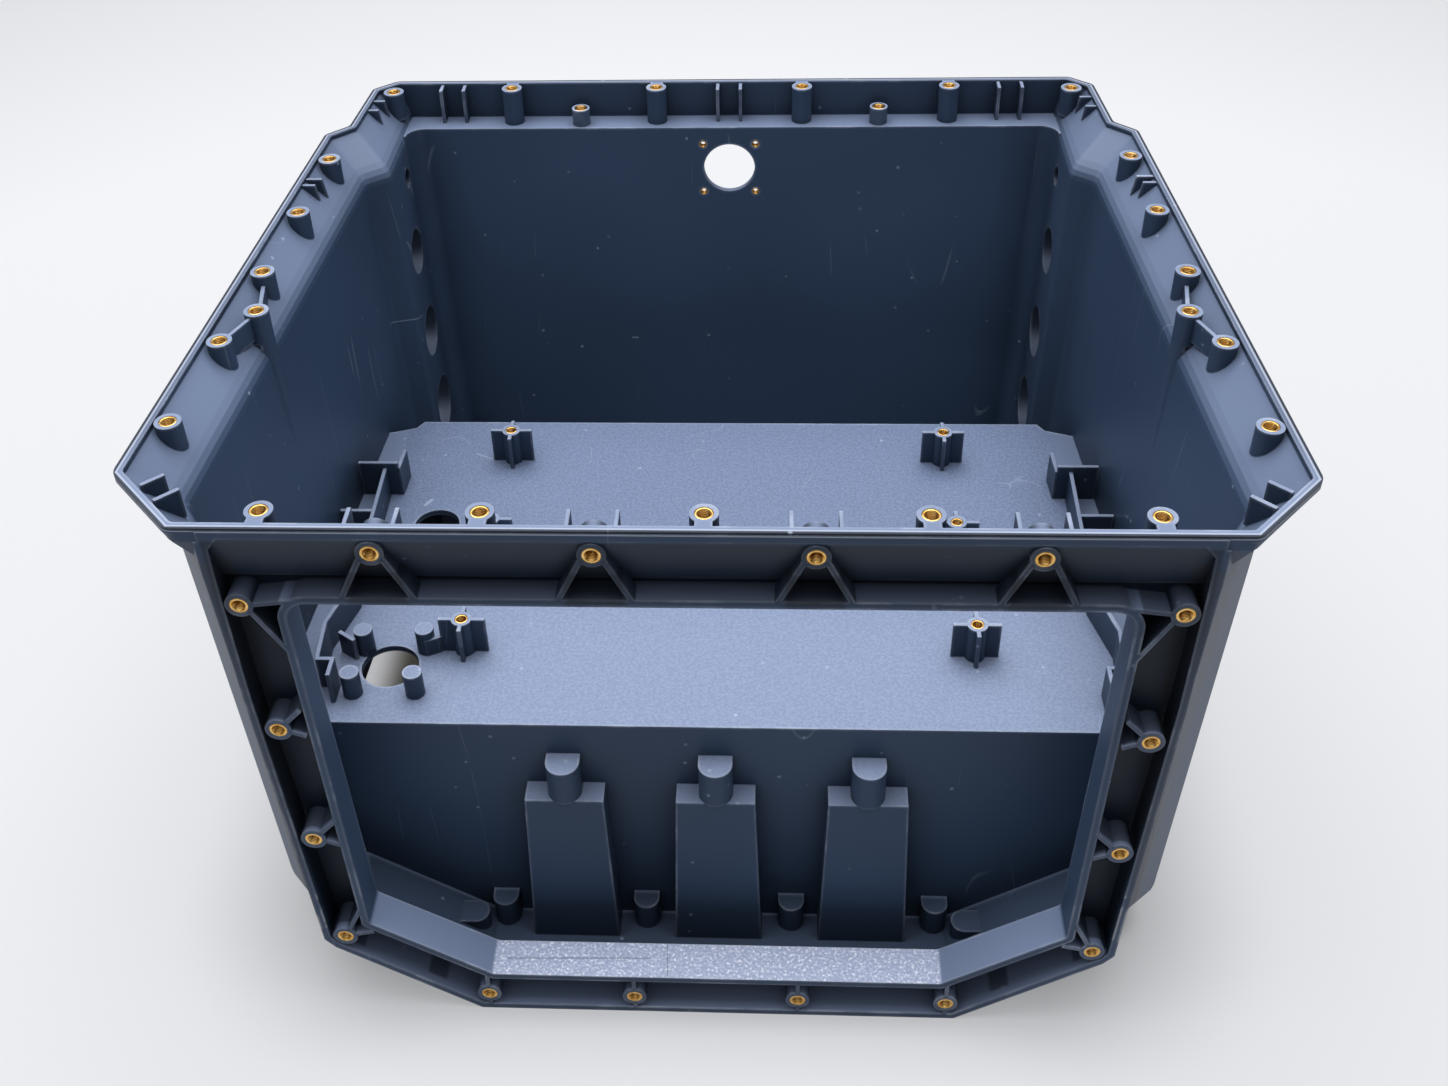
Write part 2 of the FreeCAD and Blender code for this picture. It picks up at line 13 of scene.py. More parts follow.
import bpy
import numpy as np
from mathutils import Matrix, Vector


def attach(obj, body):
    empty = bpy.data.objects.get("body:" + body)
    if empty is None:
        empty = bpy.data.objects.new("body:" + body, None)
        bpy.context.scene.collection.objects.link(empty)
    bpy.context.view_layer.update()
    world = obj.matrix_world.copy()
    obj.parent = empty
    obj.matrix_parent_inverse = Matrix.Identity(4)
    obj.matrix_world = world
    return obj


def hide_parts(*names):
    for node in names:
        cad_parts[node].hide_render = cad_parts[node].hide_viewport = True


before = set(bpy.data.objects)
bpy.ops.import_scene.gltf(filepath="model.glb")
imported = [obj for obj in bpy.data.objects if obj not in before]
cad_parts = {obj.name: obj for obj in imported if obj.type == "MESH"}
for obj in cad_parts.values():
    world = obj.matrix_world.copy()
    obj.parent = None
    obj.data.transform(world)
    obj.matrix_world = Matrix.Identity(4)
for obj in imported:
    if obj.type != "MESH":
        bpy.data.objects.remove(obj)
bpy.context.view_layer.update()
MM = 0.001
print("CAD nodes:", sorted(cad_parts))

# %% [markdown]
# ## Two small helpers for materials
#
# Colours are easiest to read as the hex values of a colour picker. Blender works with
# linear light, so one function turns hex into linear numbers. A second function adds a
# shader node, sets its properties and links its inputs in one go, which keeps each
# material as short as its recipe.

# %% Colour and node helpers
def linear(hex_colour):
    """Linear RGBA of an sRGB hex colour: each channel c becomes c/12.92 near black,
    and ((c + 0.055) / 1.055) to the power 2.4 elsewhere."""
    channels = [int(hex_colour[i:i + 2], 16) / 255 for i in (1, 3, 5)]
    light = [c / 12.92 if c <= 0.04045 else ((c + 0.055) / 1.055) ** 2.4 for c in channels]
    return (*light, 1.0)


def add(tree, kind, inputs=None, output=None, stops=(), **settings):
    """Adds a shader node and returns the output asked for, or the node if none is.
    Inputs are numbers, hex colours, or sockets, which are linked. Settings are the node's
    properties, and stops are the (position, hex colour) pairs of a colour ramp."""
    node = tree.nodes.new("ShaderNode" + kind)
    for name, value in settings.items():
        setattr(node, name, value)
    for index, (position, colour) in enumerate(stops):
        elements = node.color_ramp.elements
        stop = elements[index] if index < len(elements) else elements.new(position)
        stop.position = position
        stop.color = linear(colour)
    for name, value in (inputs or {}).items():
        if isinstance(value, bpy.types.NodeSocket):
            tree.links.new(value, node.inputs[name])
        else:
            node.inputs[name].default_value = linear(value) if isinstance(value, str) else value
    return node if output is None else node.outputs[output]


def new_material(name):
    """An empty material and its node tree."""
    material = bpy.data.materials.new(name)
    material.use_nodes = True
    material.node_tree.nodes.clear()
    return material, material.node_tree


print("slate blue in linear light:", [round(c, 3) for c in linear("#3a4b64")])

# %% [markdown]
# ## Masks: where on the surface something happens
#
# Wear is never everywhere: it sits on edges, in one spot, along one line. Each mask below
# is a number from 0 to 1 worked out from the Object coordinates, which are the real
# metres of the CAD model, so a mask can be placed with the sizes of the real part. Masks
# could also be painted by hand on a texture, but these follow the part when it changes.

# %% Mask helpers
def where(tree, *conditions):
    """1 where every condition holds and 0 where one fails: the product of them all. A
    condition is a mask, a number, or (socket, low, high): an S curve that is 0 up to low
    and 1 from high on. With low above high the curve runs the other way."""
    total = None
    for condition in conditions:
        if isinstance(condition, tuple):
            value, low, high = condition
            limits = {"Value": value, "From Min": low, "From Max": high}
            condition = add(tree, "MapRange", limits, "Result", interpolation_type="SMOOTHSTEP")
        if total is None:
            total = condition
        else:
            total = add(tree, "Math", {0: total, 1: condition}, 0, operation="MULTIPLY")
    return total


def strongest(tree, masks):
    """The highest of several masks at each point."""
    total = masks[0]
    for other in masks[1:]:
        total = add(tree, "Math", {0: total, 1: other}, 0, operation="MAXIMUM")
    return total


def folded(tree, place):
    """The place with X made positive, so that one mask serves both sides."""
    axes = add(tree, "SeparateXYZ", {"Vector": place}).outputs
    side = add(tree, "Math", {0: axes["X"]}, 0, operation="ABSOLUTE")
    return add(tree, "CombineXYZ", {"X": side, "Y": axes["Y"], "Z": axes["Z"]}, 0)


def inside(tree, place, low, high, soft):
    """1 in the box from low to high, fading to 0 over soft around it, all in mm. The
    distance from the box is the length of max(|p - centre| - half size, 0)."""
    low, high = np.array(low) * MM, np.array(high) * MM
    offset = add(tree, "VectorMath", {0: place, 1: (low + high) / 2}, 0, operation="SUBTRACT")
    offset = add(tree, "VectorMath", {0: offset}, 0, operation="ABSOLUTE")
    offset = add(tree, "VectorMath", {0: offset, 1: (high - low) / 2}, 0, operation="SUBTRACT")
    offset = add(tree, "VectorMath", {0: offset, 1: (0, 0, 0)}, 0, operation="MAXIMUM")
    gap = add(tree, "VectorMath", {0: offset}, "Value", operation="LENGTH")
    return where(tree, (gap, soft * MM, 0.0))


def stroke(tree, place, start, finish, width):
    """1 on a straight line between two points (mm), 0 beyond half its width. The distance
    is the length of p - start - t * way, with t the share of the way, kept in 0 to 1."""
    start, way = start * MM, (finish - start) * MM
    offset = add(tree, "VectorMath", {0: place, 1: start}, 0, operation="SUBTRACT")
    along = {0: offset, 1: way / (way @ way)}
    share = add(tree, "VectorMath", along, "Value", operation="DOT_PRODUCT")
    share = add(tree, "Math", {0: share, 1: 1.0}, 0, operation="MULTIPLY", use_clamp=True)
    reach = add(tree, "VectorMath", {0: way, "Scale": share}, 0, operation="SCALE")
    gap = add(tree, "VectorMath", {0: offset, 1: reach}, "Value", operation="DISTANCE")
    return where(tree, (gap, width / 2 * MM, 0.15 * width * MM))


def strokes_on(tree, place, squeeze, lines):
    """Strokes on one flat face. squeeze multiplies the axes: it nearly flattens the one
    across the face, so that a stroke shows even where the face is curved or sloping."""
    flat = add(tree, "VectorMath", {0: place, 1: squeeze}, 0, operation="MULTIPLY")
    ends = [(np.multiply(start, squeeze), np.multiply(finish, squeeze), w) for start, finish, w in lines]
    return strongest(tree, [stroke(tree, flat, *line) for line in ends])


def paint(tree, shade, layers):
    """Lays colours over a shade, the first layer lowest. A layer is (mask, colour), and
    gives shade * (1 - mask) + colour * mask. In a Mix node of colours, 0 is the factor,
    6 and 7 are the colours, and output 2 is the result."""
    for cover, colour in layers:
        shade = add(tree, "Mix", {0: cover, 6: shade, 7: colour}, 2, data_type="RGBA")
    return shade


ACROSS_X, ACROSS_Y, ACROSS_Z = (0.02, 1, 1), (1, 0.02, 1), (1, 1, 0.02)
print("100 mm across a face count as", 100 * ACROSS_X[0], "mm for the strokes on it")

# %% [markdown]
# ## The housing's plastic
#
# The real tub is glass-filled nylon, moulded in dark slate blue. The mould was spark
# eroded, so the skin is satin with a very fine grain. Flow and handling leave broad,
# faint changes of shade, and edges are rubbed pale in places. The material is built in
# layers: first the plastic, then a painted sheen on what faces up, painted highlights and
# shade, wear and scratches, and last the painted shade of the recesses.

# %% Sizes of the patterns
# The scale of a pattern is in cells per metre: 1000 divided by the size of a cell in mm.
FLOW_CLOUDS = 1000 / 125
# The mould's grain is about 0.3 mm. It is drawn at 0.8 mm so that it shows.
MOULD_GRAIN = 1000 / 0.8
# Mottle of the painted sheen on the shelf and the sill.
SHEEN_MOTTLE = 1000 / 1.25
# Patches where edges are rubbed: 18 mm. Cells with a speck: 10.5 mm. Marked areas: 43 mm.
RUBBED_PATCHES = 55
SPECK_CELLS = 95
MARKED_AREAS = 23
print("flow clouds per metre:", FLOW_CLOUDS, "and grains per metre:", MOULD_GRAIN)

# %% [markdown]
# ### Painted sheen on what faces up
#
# Faces that look up are painted pale: a painted sheen that stands for the soft lamp
# mirrored in the satin skin. Its share comes from the height of the surface normal, not
# from a light, so it stays where it is when the part is seen from elsewhere. The shoulders
# are even, the shelf is mottled and painted paler towards the front, and the sill is
# painted palest, with bright speckles that stand for rubbing.

# %% Painted sheen
SILL = ((-98, -190, 18), (98, -169, 30))


def painted_sheen_share(tree, place, rounded):
    """Share of the painted sheen, from the height of the rounded normal. The tray behind
    the sill is sheltered by the shelf, so its sheen is cut to a quarter: painted shade."""
    upward = add(tree, "SeparateXYZ", {"Vector": rounded}, "Z")
    # Under the shelf the tray keeps a quarter of the sheen: painted shade.
    tray = inside(tree, place, (-160, -168, 0), (160, -140, 90), 2.5)
    sheltered = add(tree, "MapRange", {"Value": tray, "To Min": 1.0, "To Max": 0.25}, "Result")
    return where(tree, (upward, 0.2, 0.92), sheltered)


def painted_sheen_colour(tree, place, cloud):
    """Colour of the painted sheen: that of the shoulders, with the shelf, its front and the sill over
    it.
    """
    mottle = {"Vector": place, "Scale": SHEEN_MOTTLE, "Detail": 1.0}
    mottle = {"Fac": add(tree, "TexNoise", mottle, "Fac")}
    on_shoulder = [(0.3, "#6f7d99"), (0.7, "#7887a5")]
    on_shelf = [(0.36, "#657390"), (0.64, "#73819f")]
    on_front = [(0.36, "#8391af"), (0.66, "#929fbb")]
    on_sill = [(0.38, "#9ba6c3"), (0.58, "#b1bad2"), (0.72, "#e6eaf4")]
    shelf = inside(tree, place, (-170, -140, 126), (170, 85, 131), 1.0)
    # The shelf's front is painted paler still: painted sheen.
    front = where(tree, inside(tree, place, (-160, -140, 125), (160, -90, 135), 90), 0.6)
    # The sill is painted palest: painted sheen, with bright speckles that stand for rubbing.
    sill = inside(tree, place, *SILL, 1.5)
    shoulder_sheen = add(tree, "ValToRGB", {"Fac": cloud}, "Color", stops=on_shoulder)
    layers = [
        (shelf, add(tree, "ValToRGB", mottle, "Color", stops=on_shelf)),
        (front, add(tree, "ValToRGB", mottle, "Color", stops=on_front)),
        (sill, add(tree, "ValToRGB", mottle, "Color", stops=on_sill)),
    ]
    return paint(tree, shoulder_sheen, layers)


print("the sill's box, in mm:", SILL)

# %% [markdown]
# ### The rim's fine lines
#
# The real rim has a rebate of about 1 mm round its outer edge, which a seal would cover.
# It is too fine for the solids, so its light and shade are painted: a dark line of
# painted shade on the edge, a painted highlight just inside it, and another on a bead just
# below. All of them follow from one number, the depth of a point behind the rim's outline.

# %% Lines of the rim
RIM_TOP = 277.3
RIM_HALF = [
    (0, -183.6), (189.8, -183.6), (218.8, -152.4), (203.5, 125.4),
    (193, 135.4), (190, 179.5), (178.6, 189.2), (0, 189.2),
]


def rim_depth(tree, place):
    """How far a point lies inside the rim's outline: the least of its depths behind the
    sides, n . (p - corner) with n the side's inward normal. The notch before the rear
    pillar is a concave corner, so there the greater of its two depths counts."""
    plan = folded(tree, place)
    depths = []
    for (x0, y0), (x1, y1) in zip(RIM_HALF, RIM_HALF[1:]):
        length = math.hypot(x1 - x0, y1 - y0)
        inward = (-(y1 - y0) / length, (x1 - x0) / length, 0.0)
        offset = (inward[0] * x0 + inward[1] * y0) * MM
        along = add(tree, "VectorMath", {0: plan, 1: inward}, "Value", operation="DOT_PRODUCT")
        depths.append(add(tree, "Math", {0: along, 1: offset}, 0, operation="SUBTRACT"))
    front, corner, side, notch, pillar, rear_corner, rear = depths
    least = strongest(tree, [notch, pillar])
    for depth in (front, corner, side, rear_corner, rear):
        least = add(tree, "Math", {0: least, 1: depth}, 0, operation="MINIMUM")
    return least


def rim_lines(tree, place):
    """Masks of the rim: its grey top face on the sides and the back, the dark line of painted
    shade on the edge, and the painted highlights inside and below it. The numbers are
    depths behind the outline and heights below the top, in mm."""
    depth = rim_depth(tree, place)
    axes = add(tree, "SeparateXYZ", {"Vector": place}).outputs
    below = {0: RIM_TOP * MM, 1: axes["Z"]}
    below = add(tree, "Math", below, 0, operation="SUBTRACT")
    on_top = where(tree, (below, 0.3 * MM, 0.1 * MM))
    narrow = where(tree, (depth, 1.3 * MM, 0.9 * MM))
    past_narrow = add(tree, "Math", {0: 1.0, 1: narrow}, 0, operation="SUBTRACT")
    dark = where(tree, narrow, (below, 1.0 * MM, 0.8 * MM))
    inner = where(tree, past_narrow, on_top, (depth, 2.1 * MM, 1.7 * MM), 0.5)
    bead = where(tree, narrow, (below, 1.7 * MM, 1.5 * MM), (below, 1.0 * MM, 1.2 * MM), 0.75)
    grey = where(tree, on_top, (depth, 3.5 * MM, 3.1 * MM), (axes["Y"], -165 * MM, -120 * MM))
    return grey, dark, strongest(tree, [inner, bead])


print("the rim's outline has", 2 * (len(RIM_HALF) - 2), "corners")

# %% [markdown]
# ### Marks of handling
#
# Two patterns give wear that could be anywhere: specks and hairlines, both in patches,
# because a tub is knocked in some places and not in others. A few scratches are where
# the real one has them, each a short straight line on one wall.

# %% Specks and scratches
SCRATCHES = [
    (ACROSS_X, [
        ((-172, 104, 177), (-172, 129, 167), 0.8),
        ((-172, 149, 247), (-172, 152, 240), 1.3),
        ((-172, 153.5, 233), (-172, 155.5, 227), 1.5),
        ((-172, 127, 214), (-172, 132, 206), 1.2),
    ]),
    (ACROSS_Y, [((-57.2, 171, 128.1), (-54.4, 171, 128.1), 1.6)]),
    (ACROSS_Z, [
        ((-131, 52.5, 130), (-122, 48, 130), 0.9),
        ((-150.5, 10, 130), (-148, 14, 130), 2.6),
    ]),
]
SILL_GROOVE = ((-93, -180.4, 25), (-29, -178.8, 25), 0.9)
SILL_SEAM = ((-22.3, -169, 25), (-21, -188, 25), 0.8)


def handling_marks(tree, place):
    """Fine specks and hairline scratches. A speck is the middle of a few cells of a Voronoi
    pattern, about 1 mm wide; a scratch is a contour line of a drawn-out noise, in patches."""
    cells = add(tree, "TexVoronoi", {"Vector": place, "Scale": SPECK_CELLS}).outputs
    chosen = add(tree, "SeparateColor", {"Color": cells["Color"]}, "Red")
    patches = {"Vector": place, "Scale": MARKED_AREAS, "Detail": 1.0}
    patches = add(tree, "TexNoise", patches, "Fac")
    specks = where(
        tree, (chosen, 0.55, 0.60), (cells["Distance"], 0.11, 0.05), (patches, 0.36, 0.56), 0.60,
    )
    drawn = {"Vector": place, "Rotation": (0.5, 0.3, 0.6), "Scale": (40, 40, 5)}
    drawn = {"Vector": add(tree, "Mapping", drawn, 0), "Scale": 1.0, "Detail": 0.0}
    drift = add(tree, "TexNoise", drawn, "Fac")
    level = add(tree, "Math", {0: drift, 1: 0.55}, 0, operation="SUBTRACT")
    level = add(tree, "Math", {0: level}, 0, operation="ABSOLUTE")
    hairs = where(tree, (level, 0.007, 0.002), (patches, 0.58, 0.66), 0.22)
    return strongest(tree, [specks, hairs])


def known_scratches(tree, place):
    """Scratches that this housing has: on a rear pillar, the back wall and the shelf."""
    faces = [strokes_on(tree, place, squeeze, lines) for squeeze, lines in SCRATCHES]
    return where(tree, strongest(tree, faces), 0.6)


print("placed scratches:", sum(len(lines) for _, lines in SCRATCHES))

# %% [markdown]
# ### Painted edge highlights, rubbed edges and painted shade in recesses
#
# An ambient occlusion node measures how much of the space round a point is free. One
# that looks 1.3 mm into the plastic finds the outer edges, because near an edge the other
# face is close behind: each gets a thin pale line, a painted highlight, made stronger
# by wear in rubbed patches. One that looks 30 mm outwards finds the corners between ribs
# and walls, which are painted darker: painted shade, where less light arrives.

# %% Edges and recesses
PORTS = [(151.7, 238.7, 5.2), (143.4, 199.1, 12.3), (140.6, 149.6, 14.0), (139.4, 101.3, 15.5)]
TOP_SEATS = [39.3, 117.9]


def edge_highlight_and_wear(tree, place):
    """Masks of the thin pale line on outer edges, a painted highlight that is stronger in
    rubbed patches, where it also stands for wear, and of the chips low on the frame's side edges."""
    rubbed = {"Vector": place, "Scale": RUBBED_PATCHES, "Detail": 3.0}
    rubbed = add(tree, "TexNoise", rubbed, "Fac")
    look = {"inside": True, "only_local": True, "samples": 2}
    free = add(tree, "AmbientOcclusion", {"Distance": 1.3 * MM}, "AO", **look)
    strength = {"Value": where(tree, (rubbed, 0.50, 0.66)), "To Min": 0.28, "To Max": 0.75}
    # A painted highlight on every outer edge: 0.28 strong, up to 0.75 where it is rubbed.
    line = where(tree, (free, 0.93, 0.55), add(tree, "MapRange", strength, "Result"))
    frame_edge = inside(tree, folded(tree, place), (168, -190, 50), (180, -176, 86), 2.0)
    chips = where(tree, frame_edge, (rubbed, 0.47, 0.53), (free, 0.99, 0.7))
    return line, chips


def painted_recess_shade(tree, place, painted_sheen):
    """Share of its colour that a recess keeps, as painted shade: less in a corner, in the
    channel round the window, in the bores of the ports and in the pockets below the upper seats."""
    sky = add(tree, "AmbientOcclusion", {"Distance": 30 * MM}, "AO", only_local=True, samples=2)
    lowest = add(tree, "MapRange", {"Value": painted_sheen, "To Min": 0.32, "To Max": 0.75}, "Result")
    corner = {"Value": sky, "From Min": 0.35, "From Max": 0.9, "To Min": lowest}
    corner = add(tree, "MapRange", corner, "Result")
    window = inside(tree, place, (-154, -200, 20), (154, -160, 244), 1.0)
    round_window = add(tree, "Math", {0: 1.0, 1: window}, 0, operation="SUBTRACT")
    channel = inside(tree, place, (-177, -184, 15), (177, -170.5, 271), 1.5)
    hollows = [where(tree, channel, round_window)]
    side_view = add(tree, "VectorMath", {0: place, 1: (0, 1, 1)}, 0, operation="MULTIPLY")
    for y, z, radius in PORTS:
        centre = np.array([0, y, z]) * MM
        gap = add(tree, "VectorMath", {0: side_view, 1: centre}, "Value", operation="DISTANCE")
        hollows.append(where(tree, (gap, (radius + 0.6) * MM, (radius + 0.3) * MM)))
    mirrored = folded(tree, place)
    pockets = [inside(tree, mirrored, (x - 9, -186, 246), (x + 9, -169, 257), 5.0) for x in TOP_SEATS]
    hollow = where(tree, strongest(tree, hollows), 0.57)
    pocket = where(tree, strongest(tree, pockets), 0.8)
    kept = {0: 1.0, 1: strongest(tree, [hollow, pocket])}
    return where(tree, corner, add(tree, "Math", kept, 0, operation="SUBTRACT"))


print("ports with dark bores:", len(PORTS), "a side")

# %% [markdown]
# ### All layers together
#
# A bevel node rounds every edge in the shading by 0.7 mm, as moulded edges are, without
# touching the mesh. Satin comes from a roughness near 0.47 and a low specular level,
# because the grain scatters what a polished nylon would mirror.

# %% Housing material
def moulded_nylon():
    """Satin slate nylon: base shade, painted sheen, painted highlights and shade, wear and marks, over a
    fine grain.
    """
    material, tree = new_material("glass-filled nylon, spark-eroded mould")
    place = add(tree, "TexCoord", output="Object")
    rounded = add(tree, "Bevel", {"Radius": 0.7 * MM}, "Normal", samples=2)

    cloud = add(tree, "TexNoise", {"Vector": place, "Scale": FLOW_CLOUDS, "Detail": 1.0}, "Fac")
    plain = [(0.3, "#3a4b64"), (0.7, "#415571")]
    shade = add(tree, "ValToRGB", {"Fac": cloud}, "Color", stops=plain)
    # The frame's outer side bands are painted darker and greyer: painted shade.
    shaded_outer_bands = inside(tree, folded(tree, place), (171, -200, 0), (215, -172, 262), 1.0)
    painted_sheen = painted_sheen_share(tree, place, rounded)
    sill_lines = strokes_on(tree, place, ACROSS_Z, [SILL_GROOVE, SILL_SEAM])
    line, chips = edge_highlight_and_wear(tree, place)
    grey, dark, light = rim_lines(tree, place)
    marks = strongest(tree, [handling_marks(tree, place), known_scratches(tree, place)])
    layers = [
        # Painted shade on the frame's outer side bands.
        (where(tree, shaded_outer_bands, 0.45), "#45474d"),
        # Painted sheen on what faces up, pale from the height of the normal.
        (painted_sheen, painted_sheen_colour(tree, place, cloud)),
        (where(tree, sill_lines, inside(tree, place, *SILL, 1.5), 0.6), "#4c566e"),
        # Painted highlight on outer edges, with wear in rubbed patches.
        (line, "#b9c2d6"),
        (where(tree, grey, 0.62), "#3f4a60"),
        # Painted shade: the dark line on the rim's edge.
        (where(tree, dark, 0.9), "#1c232f"),
        # Painted highlights: the light lines inside the rim's edge and on the bead.
        (light, "#c3cbdc"),
        (chips, "#d3d8e2"),
        (marks, "#aab5cc"),
    ]
    shade = paint(tree, shade, layers)
    # Painted shade: the colour of recesses is scaled down.
    dimmed = {0: shade, "Scale": painted_recess_shade(tree, place, painted_sheen)}
    shade = add(tree, "VectorMath", dimmed, 0, operation="SCALE")

    grain = add(tree, "TexNoise", {"Vector": place, "Scale": MOULD_GRAIN, "Detail": 0.0}, "Fac")
    relief = {"Strength": 0.18, "Distance": 0.05 * MM, "Height": grain, "Normal": rounded}
    satin = {"Value": cloud, "To Min": 0.42, "To Max": 0.52}
    skin = {
        "Base Color": shade,
        "Roughness": add(tree, "MapRange", satin, "Result"),
        "Normal": add(tree, "Bump", relief, "Normal"),
        "IOR": 1.53,
        "Specular IOR Level": 0.22,
    }
    add(tree, "OutputMaterial", {"Surface": add(tree, "BsdfPrincipled", skin, 0)})
    return material


plastic = moulded_nylon()
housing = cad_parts["housing"]
housing.data.materials.clear()
housing.data.materials.append(plastic)
print("housing triangles:", len(housing.data.polygons))
print("shader nodes of the plastic:", len(plastic.node_tree.nodes))

# %% [markdown]
# ## Brass inserts with real threads
#
# Each insert is a knurled brass bush pressed into its boss while hot. What shows is a
# bright turned ring, a short lead-in bevel and the first turns of the thread. A texture
# would go flat in close views, so the thread is real: the radius of the hole is a
# function of angle and depth, rising and falling once per pitch and shifted by one pitch
# per turn. The CAD rings are hidden, and these meshes stand for them here.
#
# The metal comes first. Brass for inserts is turned on a lathe and kept loose in a box, so
# its faces are warm yellow with duller spots. The colour is the metal's own, and the
# index of refraction stays as Blender gives it, as for every metal.

# %% Brass material
def turned_brass():
    """Free-machining brass, turned on a lathe: warm yellow, clouded by tarnish in spots
    of about 2.4 mm, and duller where it is tarnished."""
    material, tree = new_material("free-machining brass, turned")
    place = add(tree, "TexCoord", output="Object")
    tarnish = add(tree, "TexNoise", {"Vector": place, "Scale": 420, "Detail": 3.0}, "Fac")
    tones = [(0.35, "#c9974a"), (0.7, "#e9c37c")]
    gloss = {"Value": tarnish, "To Min": 0.18, "To Max": 0.34}
    metal = {
        "Base Color": add(tree, "ValToRGB", {"Fac": tarnish}, "Color", stops=tones),
        "Metallic": 1.0,
        "Roughness": add(tree, "MapRange", gloss, "Result"),
    }
    add(tree, "OutputMaterial", {"Surface": add(tree, "BsdfPrincipled", metal, 0)})
    return material


brass = turned_brass()
print("shader nodes of the brass:", len(brass.node_tree.nodes))

# %% [markdown]
# ### The surface of one insert
#
# All the rings of points have the same number of points, so one rule makes the faces of
# the whole insert. The ring on the face, the bevel and the thread are rows of one grid,
# which leaves no gap between them.

# %% Shape of one insert
POINTS_AROUND = 40
ROWS_PER_PITCH = 6
THREAD_DEPTH = 0.54
CHAMFER = 0.12 * MM


def insert_profile(outer, bore, length, pitch):
    """One insert as a grid of points (rows, around, 3), mouth at z = 0, sunk towards -z.
    The rows run from the outer rim over the face, down the bevel, then down the thread.
    Thread radius = bore + depth * triangle wave of (z / pitch + angle / turn), where depth
    is the usual 0.54 of the pitch. It opens towards the mouth, as the lead-in."""
    around = POINTS_AROUND
    angle = np.linspace(0, 2 * np.pi, around, endpoint=False)
    depth = THREAD_DEPTH * pitch
    crest = bore + depth
    face = [(outer, -length), (outer, -CHAMFER), (outer - CHAMFER, 0.0), (crest + CHAMFER, 0.0)]
    rows = [np.stack([r * np.cos(angle), r * np.sin(angle), np.full(around, z)], 1) for r, z in face]
    turns = np.arange(0, length - 0.3 * MM, pitch / ROWS_PER_PITCH)
    phase = turns[:, None] / pitch + angle[None, :] / (2 * np.pi)
    wave = np.abs(2 * (phase - np.floor(phase)) - 1)
    radius = bore + depth * wave
    lead_in = np.clip(1 - turns / (0.9 * depth), 0, 1)[:, None]
    radius = np.maximum(radius, bore + depth * lead_in)
    z = -turns[:, None] - 0.1 * MM + 0 * radius
    thread = np.stack([radius * np.cos(angle), radius * np.sin(angle), z], 2)
    floor = np.stack([bore * np.cos(angle), bore * np.sin(angle), np.full(around, -length)], 1)
    return np.concatenate([np.array(rows), thread, floor[None]])


def grid_faces(rows, columns, offset):
    """Quads of a closed band of rows, each row a ring of the same number of points."""
    r, c = np.meshgrid(np.arange(rows - 1), np.arange(columns), indexing="ij")
    n = (c + 1) % columns
    quads = np.stack([r * columns + c, (r + 1) * columns + c, (r + 1) * columns + n, r * columns + n], 2)
    return quads.reshape(-1, 4) + offset


def mesh_object(name, points, quads, material):
    """A smooth mesh object at the origin from arrays of points and quads."""
    mesh = bpy.data.meshes.new(name)
    mesh.from_pydata(points.tolist(), [], quads.tolist())
    mesh.polygons.foreach_set("use_smooth", np.full(len(quads), True))
    mesh.materials.append(material)
    piece = bpy.data.objects.new(name, mesh)
    bpy.context.scene.collection.objects.link(piece)
    return piece


print("points round one thread:", POINTS_AROUND)

# %% [markdown]
# ### One mesh for each group of inserts
#
# The CAD keeps all the inserts of one kind in one node. Their places are read from that
# node's mesh rather than typed in, so they can't drift apart: the loose solids are found
# as connected triangles, and a copy of the thread goes to the middle of each.

# %% Places of the inserts
def solid_centres(node):
    """Centre and size of each loose solid of a CAD node, as two arrays. Points closer than
    1 micrometre are one point. Each takes the lowest label among the corners of its
    triangles, again and again, until every solid has one label."""
    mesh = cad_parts[node].data
    points = np.empty(len(mesh.vertices) * 3)
    mesh.vertices.foreach_get("co", points)
    cells = np.round(points.reshape(-1, 3) / 1e-6).astype(np.int64)
    cells, index = np.unique(cells, axis=0, return_inverse=True)
    corners = np.empty(len(mesh.loops), dtype=np.int64)
    mesh.loops.foreach_get("vertex_index", corners)
    triangles = index.ravel()[corners.reshape(-1, 3)]
    label = np.arange(len(cells))
    before = None
    while not np.array_equal(before, label):
        before = label.copy()
        lowest = label[triangles].min(axis=1)
        for k in range(3):
            np.minimum.at(label, triangles[:, k], lowest)
        label = label[label]
    solids = [cells[label == group] * 1e-6 for group in np.unique(label)]
    low = np.array([solid.min(axis=0) for solid in solids])
    high = np.array([solid.max(axis=0) for solid in solids])
    return (low + high) / 2, high - low


def threaded_inserts(name, node, way, bore, pitch):
    """All the inserts of one CAD node, as one mesh. way is the direction their mouths face."""
    centres, sizes = solid_centres(node)
    way = np.array(way, float)
    side = np.array([0.0, 0.0, 1.0]) if abs(way[2]) < 0.5 else np.array([1.0, 0.0, 0.0])
    across = np.cross(side, way)
    length = float(sizes[0] @ np.abs(way))
    outer = float(sizes[0] @ np.abs(side)) / 2
    one = insert_profile(outer, bore, length, pitch)
    rows, columns, _ = one.shape
    turned = one.reshape(-1, 3) @ np.array([side, across, way])
    mouths = centres + way * length / 2
    points = (turned[None] + mouths[:, None]).reshape(-1, 3)
    quads = np.concatenate([grid_faces(rows, columns, k * rows * columns) for k in range(len(mouths))])
    piece = mesh_object(name, points, quads, brass)
    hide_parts(node)
    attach(piece, "root")
    print(name, len(mouths), "inserts,", len(quads), "quads")


